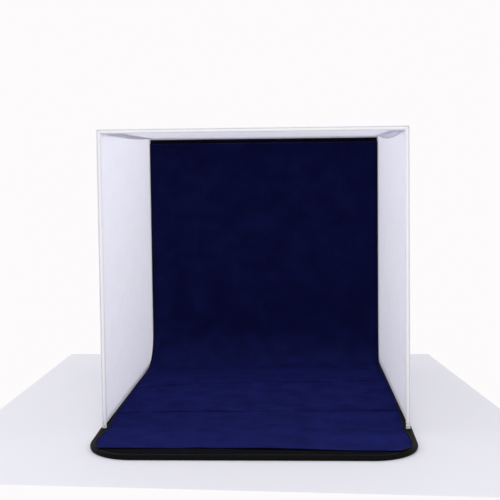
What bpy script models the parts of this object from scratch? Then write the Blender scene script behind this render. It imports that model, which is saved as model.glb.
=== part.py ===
"""Light tent cube: two nested portal frames fold onto a bound base that has a rounded front flap.

Lengths are in metres. +Z is up, +Y points to the back, and the origin lies on the table under
the middle of the part. Pieces of a moving group are parented to an empty on that group's axis.
"""

import math

import bmesh
import bpy
from mathutils import Vector

# Overall sizes of the open tent.
tent_width = 0.600
tent_depth = 0.600
tent_height = 0.594
rear_narrowing = 0.0111
rear_lowering = 0.011
touching_gap = 0.0003

# The base and its front flap.
base_side_margin = 0.0045
base_thickness = 0.0095
front_reach = 0.174
rear_reach = 0.0145
front_corner_radius = 0.087
rear_corner_radius = 0.014
corner_steps = 14
binding_width = 0.007
binding_edge_share = 0.30
binding_round_steps = 6
fold_offset = 0.010
fold_half_gap = 0.0011
fold_bead_radius = 0.0008

# The frames: rods in sewn sleeves, joined by elbows, standing on pivoted feet.
rod_radius = 0.0019
fitting_wall = 0.00055
fitting_clearance = 0.00025
sleeve_wall = 0.0006
socket_depth = 0.012
round_sides = 20
pivot_rise = 0.006
eye_radius = 0.0030
eye_thickness = 0.0030
neck_width_share = 0.84
neck_top = 0.0047
socket_floor = 0.0060
foot_top = 0.0165
sleeve_start = 0.0052

# The brackets and pins that carry the feet.
bracket_radius = 0.0032
ear_thickness = 0.0011
bracket_floor = 0.0012
pin_radius = 0.0010
pin_head_radius = 0.0017
pin_head_thickness = 0.0004

# The fabric panels.
fabric_thickness = 0.0008
back_notch_width = 0.0095
back_notch_rise = 0.0078
back_wall_drop = 0.003
left_roof_flap_hang = 0.008
right_roof_flap_hang = 0.014
roof_flap_end_hang = 0.0012
roof_flap_steps = 16

# The hook and loop strips.
strip_thickness = 0.0009
hook_strip_height = 0.016
loop_strip_height = 0.013
strip_side_margin = 0.0022
flap_strip_depth = 0.048
flap_strip_thickness = 0.0012

# The backdrop cloth: an apron on the flap, then a floor that sweeps up to the top strip.
cloth_bracket_clearance = 0.0024
cloth_wall_clearance = 0.0022
cloth_edge_width = 0.0035
cloth_columns = 16
cloth_fold_gap = 0.0014
sweep_reach_left = 0.1434
sweep_reach_middle = 0.0584
sweep_reach_right = 0.0274
sweep_top_left = 0.085
sweep_top_middle = 0.075
sweep_top_right = 0.095
sweep_steps = 9
upright_steps = 5
crease_shares = (0.195, 0.616)
crease_height = 0.0010
crease_half_width = 0.006
apron_lift = 0.0014
apron_lift_length = 0.030
apron_wave_count = 2.3

# Colours, each as (red, green, blue), with a roughness.
white_cloth = ((0.80, 0.80, 0.86), 0.85)
black_cloth = ((0.012, 0.012, 0.015), 0.80)
navy_cloth = ((0.010, 0.012, 0.090), 0.90)
white_plastic = ((0.82, 0.82, 0.82), 0.45)
glass_fibre = ((0.70, 0.71, 0.70), 0.40)
steel = ((0.60, 0.60, 0.61), 0.30)

# Sizes that follow from the ones above.
fitting_bore = rod_radius + fitting_clearance
fitting_radius = fitting_bore + fitting_wall
sleeve_bore = fitting_radius + fitting_clearance
sleeve_radius = sleeve_bore + sleeve_wall
panel_offset = sleeve_radius + touching_gap
base_width = tent_width + 2 * base_side_margin
front_y = front_reach - (front_reach + tent_depth + rear_reach) / 2
rear_y = front_y + tent_depth
flap_end_y = front_y - front_reach
base_end_y = rear_y + rear_reach
fold_y = front_y - fold_offset
pivot_z = base_thickness + pivot_rise
front_half = tent_width / 2 - fabric_thickness - panel_offset
rear_half = front_half - rear_narrowing
front_rise = tent_height - fabric_thickness - panel_offset - pivot_z
rear_rise = front_rise - rear_lowering
back_wall_y = -panel_offset - fabric_thickness / 2
hook_strip_y = back_wall_y - fabric_thickness / 2 - touching_gap - strip_thickness / 2
loop_strip_y = hook_strip_y - strip_thickness - touching_gap
cloth_z = base_thickness + touching_gap + fabric_thickness / 2
cloth_y = rear_y + loop_strip_y
bracket_half_width = eye_thickness / 2 + touching_gap + ear_thickness
cloth_floor_half_width = front_half - bracket_half_width - cloth_bracket_clearance
flap_cut_y = flap_end_y + flap_strip_depth


def clear_scene():
    for item in list(bpy.data.objects):
        bpy.data.objects.remove(item, do_unlink=True)


def make_material(name, finish):
    colour, roughness = finish
    material = bpy.data.materials.new(name)
    material.use_nodes = True
    shader = material.node_tree.nodes["Principled BSDF"]
    shader.inputs["Base Color"].default_value = (*colour, 1)
    shader.inputs["Roughness"].default_value = roughness
    shader.inputs["Metallic"].default_value = 1 if finish is steel else 0
    material.diffuse_color = (*colour, 1)
    return material


def add_piece(name, mesh_data, finish, parent, location=(0, 0, 0), rounded=False):
    bmesh.ops.recalc_face_normals(mesh_data, faces=mesh_data.faces)
    for face in mesh_data.faces:
        face.smooth = rounded
    mesh = bpy.data.meshes.new(name)
    mesh_data.to_mesh(mesh)
    mesh_data.free()
    if rounded:
        mesh.set_sharp_from_angle(angle=math.radians(35))
    piece = bpy.data.objects.new(name, mesh)
    piece.data.materials.append(make_material(name, finish))
    bpy.context.scene.collection.objects.link(piece)
    piece.parent = parent
    piece.location = location
    return piece


def add_axis(name, location):
    axis = bpy.data.objects.new(name, None)
    bpy.context.scene.collection.objects.link(axis)
    axis.location = location
    return axis


def ring_body(rings, closed=False):
    """A body through rings of equal point counts; an open one is capped at both ends."""
    body = bmesh.new()
    loops = [[body.verts.new(point) for point in ring] for ring in rings]
    count = len(loops[0])
    pairs = list(zip(loops, loops[1:]))
    if closed:
        pairs.append((loops[-1], loops[0]))
    else:
        body.faces.new(loops[0])
        body.faces.new(loops[-1])
    for low, high in pairs:
        for i in range(count):
            j = (i + 1) % count
            body.faces.new((low[i], low[j], high[j], high[i]))
    return body


def grid_body(front, back):
    """A thin closed body between two grids of points, given as rows of equal length."""
    body = bmesh.new()
    sides = [[[body.verts.new(point) for point in row] for row in grid] for grid in (front, back)]
    last_row = len(front) - 1
    last_column = len(front[0]) - 1
    for side in sides:
        for i in range(last_row):
            for j in range(last_column):
                body.faces.new((side[i][j], side[i][j + 1], side[i + 1][j + 1], side[i + 1][j]))
    rim = [(0, j) for j in range(last_column)]
    rim += [(i, last_column) for i in range(last_row)]
    rim += [(last_row, j) for j in range(last_column, 0, -1)]
    rim += [(i, 0) for i in range(last_row, 0, -1)]
    for (i, j), (k, m) in zip(rim, rim[1:] + rim[:1]):
        body.faces.new((sides[0][i][j], sides[0][k][m], sides[1][k][m], sides[1][i][j]))
    return body


def circle(centre, direction, radius, cut=None):
    """Points round a centre, square to a direction, or slid along it onto a cut through the centre."""
    direction = Vector(direction).normalized()
    across = Vector((1, 0, 0)) if direction.z else Vector((0, 1, 0))
    up = direction.cross(across)
    points = []
    for i in range(round_sides):
        turn = 2 * math.pi * i / round_sides
        point = across * math.cos(turn) * radius + up * math.sin(turn) * radius
        if cut is not None:
            point -= direction * point.dot(cut) / direction.dot(cut)
        points.append(Vector(centre) + point)
    return points


def box_body(low, high):
    corners = [(low[0], low[1]), (high[0], low[1]), (high[0], high[1]), (low[0], high[1])]
    return ring_body([[(x, y, z) for x, y in corners] for z in (low[2], high[2])])


def rod_body(start, end, radius):
    direction = Vector(end) - Vector(start)
    return ring_body([circle(start, direction, radius), circle(end, direction, radius)])


def combined(first, others, operation):
    """The first body joined with, or cut by, the other bodies."""
    pieces = []
    for i, body in enumerate([first] + others):
        bmesh.ops.recalc_face_normals(body, faces=body.faces)
        mesh = bpy.data.meshes.new(f"working_{i}")
        body.to_mesh(mesh)
        body.free()
        pieces.append(bpy.data.objects.new(f"working_{i}", mesh))
        bpy.context.scene.collection.objects.link(pieces[-1])
    for piece in pieces[1:]:
        modifier = pieces[0].modifiers.new("combine", "BOOLEAN")
        modifier.solver = "EXACT"
        modifier.operation = operation
        modifier.object = piece
    graph = bpy.context.evaluated_depsgraph_get()
    result = bmesh.new()
    result.from_object(pieces[0], graph)
    for piece in pieces:
        bpy.data.meshes.remove(piece.data)
    return result


def edge_path(start_y, end_y, corner_radius):
    """The base's outer edge from the left end of a line round to its right end."""
    way = math.copysign(1, end_y - start_y)
    half = base_width / 2
    path = [(Vector((-half, start_y)), Vector((-1, 0)))]
    for side in (-1, 1):
        centre = Vector((side * (half - corner_radius), end_y - way * corner_radius))
        for step in range(corner_steps + 1):
            share = step / corner_steps
            turn = (share if side < 0 else 1 - share) * math.pi / 2
            outward = Vector((side * math.cos(turn), way * math.sin(turn)))
            path.append((centre + outward * corner_radius, outward))
    path.append((Vector((half, start_y)), Vector((1, 0))))
    return path


def board_body(path):
    inset = binding_width + touching_gap
    outline = [point - outward * inset for point, outward in path]
    return ring_body([[(p.x, p.y, z) for p in outline] for z in (0, base_thickness)])


def binding_body(path):
    """A tape folded over the board's edge, flat where it meets the board and round outside."""
    low = touching_gap
    rise = (base_thickness - low) / 2
    round_depth = binding_width * binding_edge_share
    profile = [(-binding_width, low), (-binding_width, base_thickness)]
    for step in range(binding_round_steps + 1):
        turn = math.pi / 2 - math.pi * step / binding_round_steps
        offset = round_depth * (math.cos(turn) - 1)
        profile.append((offset, low + rise + rise * math.sin(turn)))
    rings = []
    for point, outward in path:
        places = [(point + outward * offset, z) for offset, z in profile]
        rings.append([(place.x, place.y, z) for place, z in places])
    return ring_body(rings)


def wall_half(y):
    """The middle of the frames' side line at a depth."""
    return front_half + (rear_half - front_half) * (y - front_y) / tent_depth


def roof_rise(y):
    """The height of the frames' top line at a depth."""
    return pivot_z + front_rise + (rear_rise - front_rise) * (y - front_y) / tent_depth


side_slant = math.hypot(1, rear_narrowing / tent_depth)
roof_slant = math.hypot(1, rear_lowering / tent_depth)
wall_inner = panel_offset * side_slant
wall_outer = (panel_offset + fabric_thickness) * side_slant
roof_under = panel_offset * roof_slant
roof_upper = (panel_offset + fabric_thickness) * roof_slant
cloth_upright_half_width = rear_half + wall_inner - cloth_wall_clearance
panel_ends = (front_y - sleeve_radius, rear_y + sleeve_radius)


def wall_body(side):
    low = base_thickness + touching_gap
    rings = []
    for y in panel_ends:
        high = roof_rise(y) + roof_under - touching_gap
        inner = side * (wall_half(y) + wall_inner)
        outer = side * (wall_half(y) + wall_outer)
        rings.append([(inner, y, low), (outer, y, low), (outer, y, high), (inner, y, high)])
    return ring_body(rings)


def roof_body():
    rings = []
    for y in panel_ends:
        half = wall_half(y) + wall_outer
        low = roof_rise(y) + roof_under
        high = roof_rise(y) + roof_upper
        rings.append([(-half, y, low), (half, y, low), (half, y, high), (-half, y, high)])
    return ring_body(rings)


def roof_flap_body(side, hang):
    """The slack seam edge that hangs in a shallow curve under one side of the roof."""
    start = front_y + sleeve_radius + fabric_thickness
    end = cloth_y - strip_thickness - fabric_thickness
    faces = ([], [])
    for step in range(roof_flap_steps + 1):
        share = step / roof_flap_steps
        y = start + (end - start) * share
        top = roof_rise(y) + roof_under - touching_gap
        low = top - roof_flap_end_hang - (hang - roof_flap_end_hang) * math.sin(math.pi * share)
        outer = wall_half(y) + wall_inner - touching_gap
        for face, x in zip(faces, (outer - fabric_thickness, outer)):
            face.append([(side * x, y, top), (side * x, y, low)])
    return grid_body(*faces)


def blend_across(x, left, middle, right):
    """A value that runs from left through middle to right across the cloth."""
    share = x / cloth_floor_half_width
    other = right if share > 0 else left
    return middle + (other - middle) * share * share


def sweep_profile(x):
    """The cloth's side view at one place across it, as (y, z) points from the fold upwards."""
    start = cloth_y - blend_across(x, sweep_reach_left, sweep_reach_middle, sweep_reach_right)
    top = cloth_z + blend_across(x, sweep_top_left, sweep_top_middle, sweep_top_right)
    points = [(fold_y + cloth_fold_gap, cloth_z)]
    for share in crease_shares:
        middle = front_y + tent_depth * share
        points.append((middle - crease_half_width, cloth_z))
        points.append((middle, cloth_z + crease_height))
        points.append((middle + crease_half_width, cloth_z))
    for step in range(sweep_steps + 1):
        t = step / sweep_steps
        y = (1 - t) ** 2 * start + 2 * t * (1 - t) * cloth_y + t * t * cloth_y
        z = (1 - t) ** 2 * cloth_z + 2 * t * (1 - t) * cloth_z + t * t * top
        points.append((y, z))
    high = pivot_z + rear_rise - loop_strip_height - touching_gap
    for step in range(1, upright_steps + 1):
        points.append((cloth_y, top + (high - top) * step / upright_steps))
    return points


def apron_profile(x):
    """The apron's side view, from its front edge, which lifts in a few soft waves."""
    front = flap_cut_y + touching_gap
    wave = math.cos(math.pi * apron_wave_count * x / cloth_floor_half_width)
    lift = apron_lift * (1 + wave) / 2
    behind = front + apron_lift_length
    between = front + apron_lift_length / 2
    back = fold_y - cloth_fold_gap
    return [
        (front, cloth_z + lift),
        (between, cloth_z + lift / 4),
        (behind, cloth_z),
        ((behind + back) / 2, cloth_z),
        (back, cloth_z),
    ]


def cloth_half(y):
    """Half the cloth's width at a depth; it narrows towards the back, as the tent does."""
    share = max(0, (y - front_y) / (cloth_y - front_y))
    return cloth_floor_half_width + (cloth_upright_half_width - cloth_floor_half_width) * share


def cloth_body(profile, places):
    """Cloth through places across its width, each a share of half the width and an inset."""
    faces = ([], [])
    half = fabric_thickness / 2
    for share, inset in places:
        line = []
        for y, z in profile(share * cloth_floor_half_width):
            line.append(Vector((share * (cloth_half(y) - inset), y, z)))
        fronts = []
        backs = []
        for i, point in enumerate(line):
            along = line[min(i + 1, len(line) - 1)] - line[max(i - 1, 0)]
            normal = Vector((0, -along.z, along.y)).normalized()
            fronts.append(point + normal * half)
            backs.append(point - normal * half)
        faces[0].append(fronts)
        faces[1].append(backs)
    return grid_body(*faces)


def add_cloth(name, profile, axis):
    """Adds the cloth and the narrow tape along each of its side edges."""
    offset = -axis.location if axis else Vector()
    inset = cloth_edge_width + touching_gap
    places = [(2 * i / cloth_columns - 1, inset) for i in range(cloth_columns + 1)]
    add_piece(name, cloth_body(profile, places), navy_cloth, axis, offset, True)
    for side, side_name in ((-1, "left"), (1, "right")):
        tape = cloth_body(profile, [(side, 0), (side, cloth_edge_width)])
        add_piece(f"{name}_{side_name}_edge", tape, black_cloth, axis, offset, True)


def flap_strip_body():
    """The hook strip that fills the flap in front of the cloth, round at both ends."""
    inset = binding_width + 2 * touching_gap
    radius = front_corner_radius - inset
    centre_y = flap_end_y + front_corner_radius
    cut_y = flap_cut_y - touching_gap
    first_turn = math.asin((centre_y - cut_y) / radius)
    outline = []
    for side in (-1, 1):
        for step in range(corner_steps + 1):
            share = step / corner_steps if side < 0 else 1 - step / corner_steps
            turn = first_turn + (math.pi / 2 - first_turn) * share
            centre_x = side * (base_width / 2 - front_corner_radius)
            x = centre_x + side * radius * math.cos(turn)
            outline.append((x, centre_y - radius * math.sin(turn)))
    low = base_thickness + touching_gap
    return ring_body([[(x, y, z) for x, y in outline] for z in (low, low + flap_strip_thickness)])


def bracket_body():
    """A clevis with two round-topped ears on a small floor; its origin is the pivot."""
    inner = bracket_half_width - ear_thickness
    low = touching_gap - pivot_rise
    ears = []
    for side in (-1, 1):
        outline = [(-bracket_radius, low)]
        for step in range(round_sides // 2 + 1):
            turn = math.pi - 2 * math.pi * step / round_sides
            outline.append((bracket_radius * math.cos(turn), bracket_radius * math.sin(turn)))
        outline.append((bracket_radius, low))
        places = (side * inner, side * (inner + ear_thickness))
        ears.append(ring_body([[(x, y, z) for y, z in outline] for x in places]))
    outer = bracket_half_width
    floor = box_body((-outer, -bracket_radius, low), (outer, bracket_radius, low + bracket_floor))
    whole = combined(floor, ears, "UNION")
    reach = 2 * outer
    hole = rod_body((-reach, 0, 0), (reach, 0, 0), pin_radius + touching_gap)
    return combined(whole, [hole], "DIFFERENCE")


def pin_body():
    """A rivet pin: a shaft through the ears with a flat head outside each."""
    outer = bracket_half_width + touching_gap - fitting_clearance / 2
    far = outer + pin_head_thickness
    stations = [
        (-far, pin_head_radius),
        (-outer, pin_head_radius),
        (-outer, pin_radius),
        (outer, pin_radius),
        (outer, pin_head_radius),
        (far, pin_head_radius),
    ]
    return ring_body([circle((x, 0, 0), (1, 0, 0), radius) for x, radius in stations])


def foot_body():
    """A round socket for the rod above a flat eye; its origin is the pivot."""
    half = eye_thickness / 2
    neck_half = eye_radius * neck_width_share
    start_turn = math.acos(neck_width_share)
    outline = [(neck_half, neck_top), (-neck_half, neck_top)]
    for step in range(round_sides + 1):
        turn = math.pi - start_turn + (math.pi + 2 * start_turn) * step / round_sides
        outline.append((eye_radius * math.cos(turn), eye_radius * math.sin(turn)))
    eye = ring_body([[(x, y, z) for y, z in outline] for x in (-half, half)])
    socket = rod_body((0, 0, neck_top - touching_gap), (0, 0, foot_top), fitting_radius)
    whole = combined(eye, [socket], "UNION")
    hole = rod_body((-eye_radius, 0, 0), (eye_radius, 0, 0), pin_radius + touching_gap)
    bore = rod_body((0, 0, socket_floor), (0, 0, foot_top + eye_radius), fitting_bore)
    return combined(whole, [hole, bore], "DIFFERENCE")


def elbow_body(side):
    """A mitred corner with a blind socket down the post and one along the top rod."""
    down = Vector((0, 0, -1))
    inward = Vector((-side, 0, 0))
    cut = (down - inward).normalized()
    floor = fitting_radius
    end = floor + socket_depth
    rings = [
        circle(down * floor, down, fitting_bore),
        circle(down * end, down, fitting_bore),
        circle(down * end, down, fitting_radius),
    ]
    mitre = circle((0, 0, 0), down, fitting_radius, cut)
    rings.append(mitre)
    for distance, radius in ((end, fitting_radius), (end, fitting_bore), (floor, fitting_bore)):
        ring = []
        for point in mitre:
            across = point - inward * point.dot(inward)
            ring.append(across * (radius / fitting_radius) + inward * distance)
        rings.append(ring)
    return ring_body(rings)


def sleeve_body(start, end, start_cut, end_cut):
    """A sewn tube between two places, cut square or to a mitre at each end."""
    direction = (Vector(end) - Vector(start)).normalized()
    rings = [
        circle(start, direction, sleeve_radius, start_cut),
        circle(end, direction, sleeve_radius, end_cut),
        circle(end, direction, sleeve_bore, end_cut),
        circle(start, direction, sleeve_bore, start_cut),
    ]
    return ring_body(rings, closed=True)


def add_portal(place, half, rise, axis):
    """Adds one frame: two feet, two posts, two elbows and a top rod, all in sewn sleeves."""
    rod_end = fitting_radius + touching_gap
    mitre_gap = touching_gap / 2
    for side, side_name in ((-1, "left"), (1, "right")):
        name = f"{place}_{side_name}"
        spot = (side * half, 0, 0)
        corner = Vector((side * half, 0, rise))
        add_piece(f"{name}_foot", foot_body(), white_plastic, axis, spot, True)
        post = rod_body((0, 0, socket_floor + touching_gap), (0, 0, rise - rod_end), rod_radius)
        add_piece(f"{name}_post", post, glass_fibre, axis, spot, True)
        add_piece(f"{name}_elbow", elbow_body(side), white_plastic, axis, corner, True)
        mitre = Vector((side, 0, 1)).normalized()
        down = Vector((0, 0, -1)) * mitre_gap
        slant = Vector((side, 0, -1)).normalized()
        sleeve = sleeve_body((0, 0, sleeve_start), Vector((0, 0, rise)) + down, None, slant)
        add_piece(f"{name}_sleeve", sleeve, white_cloth, axis, spot, True)
    low = Vector((rod_end - half, 0, 0))
    high = Vector((half - rod_end, 0, 0))
    top = (0, 0, rise)
    add_piece(f"{place}_top_rod", rod_body(low, high, rod_radius), glass_fibre, axis, top, True)
    ends = [Vector((side * (half - mitre_gap), 0, 0)) for side in (-1, 1)]
    cuts = [Vector((side, 0, -1)).normalized() for side in (-1, 1)]
    sleeve = sleeve_body(ends[0], ends[1], cuts[0], cuts[1])
    add_piece(f"{place}_top_sleeve", sleeve, white_cloth, axis, top, True)


def add_base():
    fold_start = fold_y + fold_half_gap
    path = edge_path(fold_start, base_end_y, rear_corner_radius)
    add_piece("base_board", board_body(path), black_cloth, None)
    add_piece("base_binding", binding_body(path), black_cloth, None, (0, 0, 0), True)
    half = base_width / 2
    bead = rod_body((-half, 0, 0), (half, 0, 0), fold_bead_radius)
    add_piece("fold_bead", bead, black_cloth, None, (0, fold_y, base_thickness), True)
    for place, y, spread in (("front", front_y, front_half), ("rear", rear_y, rear_half)):
        for side, side_name in ((-1, "left"), (1, "right")):
            pivot = (side * spread, y, pivot_z)
            name = f"{place}_{side_name}"
            add_piece(f"{name}_bracket", bracket_body(), white_plastic, None, pivot, True)
            add_piece(f"{name}_pin", pin_body(), steel, None, pivot, True)


def add_panels():
    add_piece("left_wall", wall_body(-1), white_cloth, None)
    add_piece("right_wall", wall_body(1), white_cloth, None)
    add_piece("roof", roof_body(), white_cloth, None)
    left_flap = roof_flap_body(-1, left_roof_flap_hang)
    right_flap = roof_flap_body(1, right_roof_flap_hang)
    add_piece("left_roof_flap", left_flap, white_cloth, None, (0, 0, 0), True)
    add_piece("right_roof_flap", right_flap, white_cloth, None, (0, 0, 0), True)


def add_flap(axis):
    offset = -axis.location
    path = edge_path(fold_y - fold_half_gap, flap_end_y, front_corner_radius)
    add_piece("flap_board", board_body(path), black_cloth, axis, offset)
    add_piece("flap_binding", binding_body(path), black_cloth, axis, offset, True)
    add_piece("flap_hook_strip", flap_strip_body(), black_cloth, axis, offset)


def add_back(axis):
    """The back wall, notched over the rear brackets, and the strips that hold the cloth."""
    half = rear_half + wall_inner - 2 * touching_gap - sleeve_wall
    top = rear_rise + sleeve_radius - touching_gap
    notch_x = half - back_notch_width
    notch_z = back_notch_rise - back_wall_drop
    outline = [
        (-notch_x, -back_wall_drop),
        (notch_x, -back_wall_drop),
        (notch_x, notch_z),
        (half, notch_z),
        (half, top),
        (-half, top),
        (-half, notch_z),
        (-notch_x, notch_z),
    ]
    reach = fabric_thickness / 2
    wall = ring_body([[(x, y, z) for x, z in outline] for y in (-reach, reach)])
    add_piece("back_wall", wall, white_cloth, axis, (0, back_wall_y, 0))
    strip_half = half - strip_side_margin
    reach = strip_thickness / 2
    hook = box_body((-strip_half, -reach, -hook_strip_height), (strip_half, reach, 0))
    add_piece("back_hook_strip", hook, white_cloth, axis, (0, hook_strip_y, rear_rise))
    loop = box_body((-strip_half, -reach, -loop_strip_height), (strip_half, reach, 0))
    add_piece("backdrop_loop_strip", loop, black_cloth, axis, (0, loop_strip_y, rear_rise))


clear_scene()
flap_axis = add_axis("flap_axis", (0, fold_y, base_thickness))
front_axis = add_axis("front_frame_axis", (0, front_y, pivot_z))
rear_axis = add_axis("rear_frame_axis", (0, rear_y, pivot_z))
add_base()
add_panels()
add_flap(flap_axis)
add_portal("front", front_half, front_rise, front_axis)
add_portal("rear", rear_half, rear_rise, rear_axis)
add_back(rear_axis)
add_cloth("backdrop_sweep", sweep_profile, None)
add_cloth("backdrop_apron", apron_profile, flap_axis)
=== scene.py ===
"""The looks of a light tent cube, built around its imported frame.

White nylon panels hang on folding rod frames that stand on a bound black base. A navy cloth
comes down from the back, sweeps forward over the base and runs out onto the rounded flap.
Lengths are in metres, and the map named "cut" lays a piece's cloth out flat in metres.
"""

import math

import bmesh
import bpy
import numpy as np
from mathutils import Matrix, Vector, noise


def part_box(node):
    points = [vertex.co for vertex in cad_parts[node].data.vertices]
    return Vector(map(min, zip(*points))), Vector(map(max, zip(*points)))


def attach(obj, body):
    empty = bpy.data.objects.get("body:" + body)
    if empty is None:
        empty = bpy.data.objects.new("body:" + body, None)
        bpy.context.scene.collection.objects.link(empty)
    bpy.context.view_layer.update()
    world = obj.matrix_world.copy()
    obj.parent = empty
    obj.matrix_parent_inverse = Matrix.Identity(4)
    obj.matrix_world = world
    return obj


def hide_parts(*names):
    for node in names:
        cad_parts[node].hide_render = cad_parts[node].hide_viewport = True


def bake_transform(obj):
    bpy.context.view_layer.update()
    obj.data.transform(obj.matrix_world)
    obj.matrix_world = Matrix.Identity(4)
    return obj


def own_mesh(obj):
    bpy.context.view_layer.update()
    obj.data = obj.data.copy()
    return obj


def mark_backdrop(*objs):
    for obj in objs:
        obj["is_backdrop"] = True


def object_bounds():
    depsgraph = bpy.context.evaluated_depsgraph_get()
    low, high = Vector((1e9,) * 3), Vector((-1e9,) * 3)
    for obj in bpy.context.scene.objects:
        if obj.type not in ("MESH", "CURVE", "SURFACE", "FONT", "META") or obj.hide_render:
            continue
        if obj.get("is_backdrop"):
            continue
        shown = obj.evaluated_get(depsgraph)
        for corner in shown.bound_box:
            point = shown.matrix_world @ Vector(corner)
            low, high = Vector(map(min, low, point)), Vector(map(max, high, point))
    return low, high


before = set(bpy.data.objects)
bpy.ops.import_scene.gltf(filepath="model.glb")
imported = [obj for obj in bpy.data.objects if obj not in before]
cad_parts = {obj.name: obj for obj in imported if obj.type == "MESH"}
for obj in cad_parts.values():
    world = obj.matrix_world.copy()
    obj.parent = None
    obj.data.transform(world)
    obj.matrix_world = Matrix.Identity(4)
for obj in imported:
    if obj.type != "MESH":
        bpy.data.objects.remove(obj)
packed_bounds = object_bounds()

# Base board and flap board. Each is a stiff plastic board in a cover of black oxford polyester
# that is drawn tight over it. The cover's open edge is closed by the binding tape.
board_edge_radius = 0.0012
board_edge_steps = 5
board_under_tape = 0.0035
board_corner_spacing = 0.004
board_cap_inset = 0.004
mitre_limit = 0.5
flap_radius = 0.087
rear_radius = 0.014
oxford_thread = 0.0014
oxford_colours = ("#09090b", "#151519")
# A wave texture repeats over this length at a scale of one.
wave_repeat = math.pi / 10


def linear(colour):
    """The linear red, green, blue and alpha of an sRGB hex colour."""
    parts = [int(colour[i : i + 2], 16) / 255 for i in (1, 3, 5)]
    bent = [c / 12.92 if c <= 0.04045 else ((c + 0.055) / 1.055) ** 2.4 for c in parts]
    return (*bent, 1)


def set_node(tree, node, settings):
    """Sets a node's properties and inputs, and links what is given as a node or an output."""
    for name, value in settings.items():
        if isinstance(value, bpy.types.Node):
            value = value.outputs[0]
        if isinstance(value, bpy.types.NodeSocket):
            tree.links.new(value, node.inputs[name])
        elif isinstance(name, str) and hasattr(node, name):
            setattr(node, name, value)
        else:
            node.inputs[name].default_value = value
    return node


def add_node(tree, kind, settings=None):
    """Adds a node with its settings and links."""
    return set_node(tree, tree.nodes.new(kind), settings or {})


def start_material(name, settings):
    """A new material with its main shader, whose even values are set on it directly."""
    material = bpy.data.materials.new(name)
    material.use_nodes = True
    tree = material.node_tree
    return material, tree, set_node(tree, tree.nodes["Principled BSDF"], settings)


def weave_height(tree, place, thread):
    """The height of a plain weave whose threads lie that far apart."""
    waves = []
    for way in ("X", "Y"):
        settings = {"Vector": place, "Scale": wave_repeat / thread, "bands_direction": way}
        waves.append(add_node(tree, "ShaderNodeTexWave", settings).outputs["Fac"])
    return add_node(tree, "ShaderNodeMath", {"operation": "MULTIPLY", 0: waves[0], 1: waves[1]})


def blend_colours(tree, share, colours):
    """A colour between two, by a share that the tree works out."""
    settings = {"data_type": "RGBA", 0: share, 6: linear(colours[0]), 7: linear(colours[1])}
    return add_node(tree, "ShaderNodeMix", settings).outputs[2]


def mottle(tree, place, size, spread, colours):
    """A colour that drifts between two over patches of that size, and the drift itself.

    The narrower the spread about the middle of the noise, the sharper the patches part.
    """
    settings = {"Vector": place, "Scale": 1 / size, "Detail": 3.0, "Roughness": 0.6}
    patches = add_node(tree, "ShaderNodeTexNoise", settings)
    settings = {"Value": patches, "From Min": 0.5 - spread, "From Max": 0.5 + spread}
    share = add_node(tree, "ShaderNodeMapRange", settings)
    return blend_colours(tree, share, colours), share


def shade_and_raise(tree, shader, pattern, colours, bump):
    """Colours a surface by the height of a pattern, and raises that pattern on it."""
    colour = blend_colours(tree, pattern, colours)
    raised = add_node(tree, "ShaderNodeBump", {"Height": pattern, **bump})
    set_node(tree, shader, {"Base Color": colour, "Normal": raised})


def oxford_material():
    """Black oxford polyester: thick dull yarns in a coarse weave, a little shiny on top.

    The real yarns lie 0.5 mm apart, too fine to show, so they are drawn 1.4 mm apart.
    """
    settings = {"Roughness": 0.72, "IOR": 1.5, "Specular IOR Level": 0.06}
    material, tree, shader = start_material("black_oxford_polyester", settings)
    place = add_node(tree, "ShaderNodeUVMap", {"uv_map": "cut"})
    weave = weave_height(tree, place, oxford_thread)
    shade_and_raise(tree, shader, weave, oxford_colours, {"Strength": 0.5, "Distance": 0.0003})
    return material


def add_object(name, data):
    """A new object in the scene, at the origin."""
    made = bpy.data.objects.new(name, data)
    bpy.context.scene.collection.objects.link(made)
    return made


def make_piece(name, places, faces, cuts, material, sharp=35):
    """A closed mesh piece, smooth but for edges sharper than that many degrees.

    The cuts are the places of each face's corners on the flat cloth.
    """
    mesh = bpy.data.meshes.new(name)
    mesh.from_pydata(np.asarray(places).reshape(-1, 3).tolist(), [], faces)
    flat = [value for face in cuts for cut in face for value in cut]
    mesh.uv_layers.new(name="cut").data.foreach_set("uv", flat)
    outward = bmesh.new()
    outward.from_mesh(mesh)
    bmesh.ops.recalc_face_normals(outward, faces=outward.faces)
    outward.to_mesh(mesh)
    outward.free()
    mesh.materials.append(material)
    mesh.shade_smooth()
    mesh.set_sharp_from_angle(angle=math.radians(sharp))
    return add_object(name, mesh)


def grid_faces(rows, columns, around=False, first=0):
    """Faces over a grid of places, and the grid cell that each corner has."""
    faces, cells = [], []
    for i in range(rows - 1):
        for j in range(columns if around else columns - 1):
            cell = [(i, j), (i, j + 1), (i + 1, j + 1), (i + 1, j)]
            faces.append([first + r * columns + c % columns for r, c in cell])
            cells.append(cell)
    return faces, cells


def unit(vectors):
    """The same directions with a length of one."""
    return vectors / np.linalg.norm(vectors, axis=-1, keepdims=True)


def spans(places, axis=0):
    """The lengths from each place to the next, down a line or a grid, or across a grid."""
    return np.linalg.norm(np.diff(places, axis=axis), axis=-1)


def travelled(lengths):
    """The distance at each place, from nothing at the first one."""
    return np.concatenate([np.zeros_like(lengths[:1]), np.cumsum(lengths, axis=0)])


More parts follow.
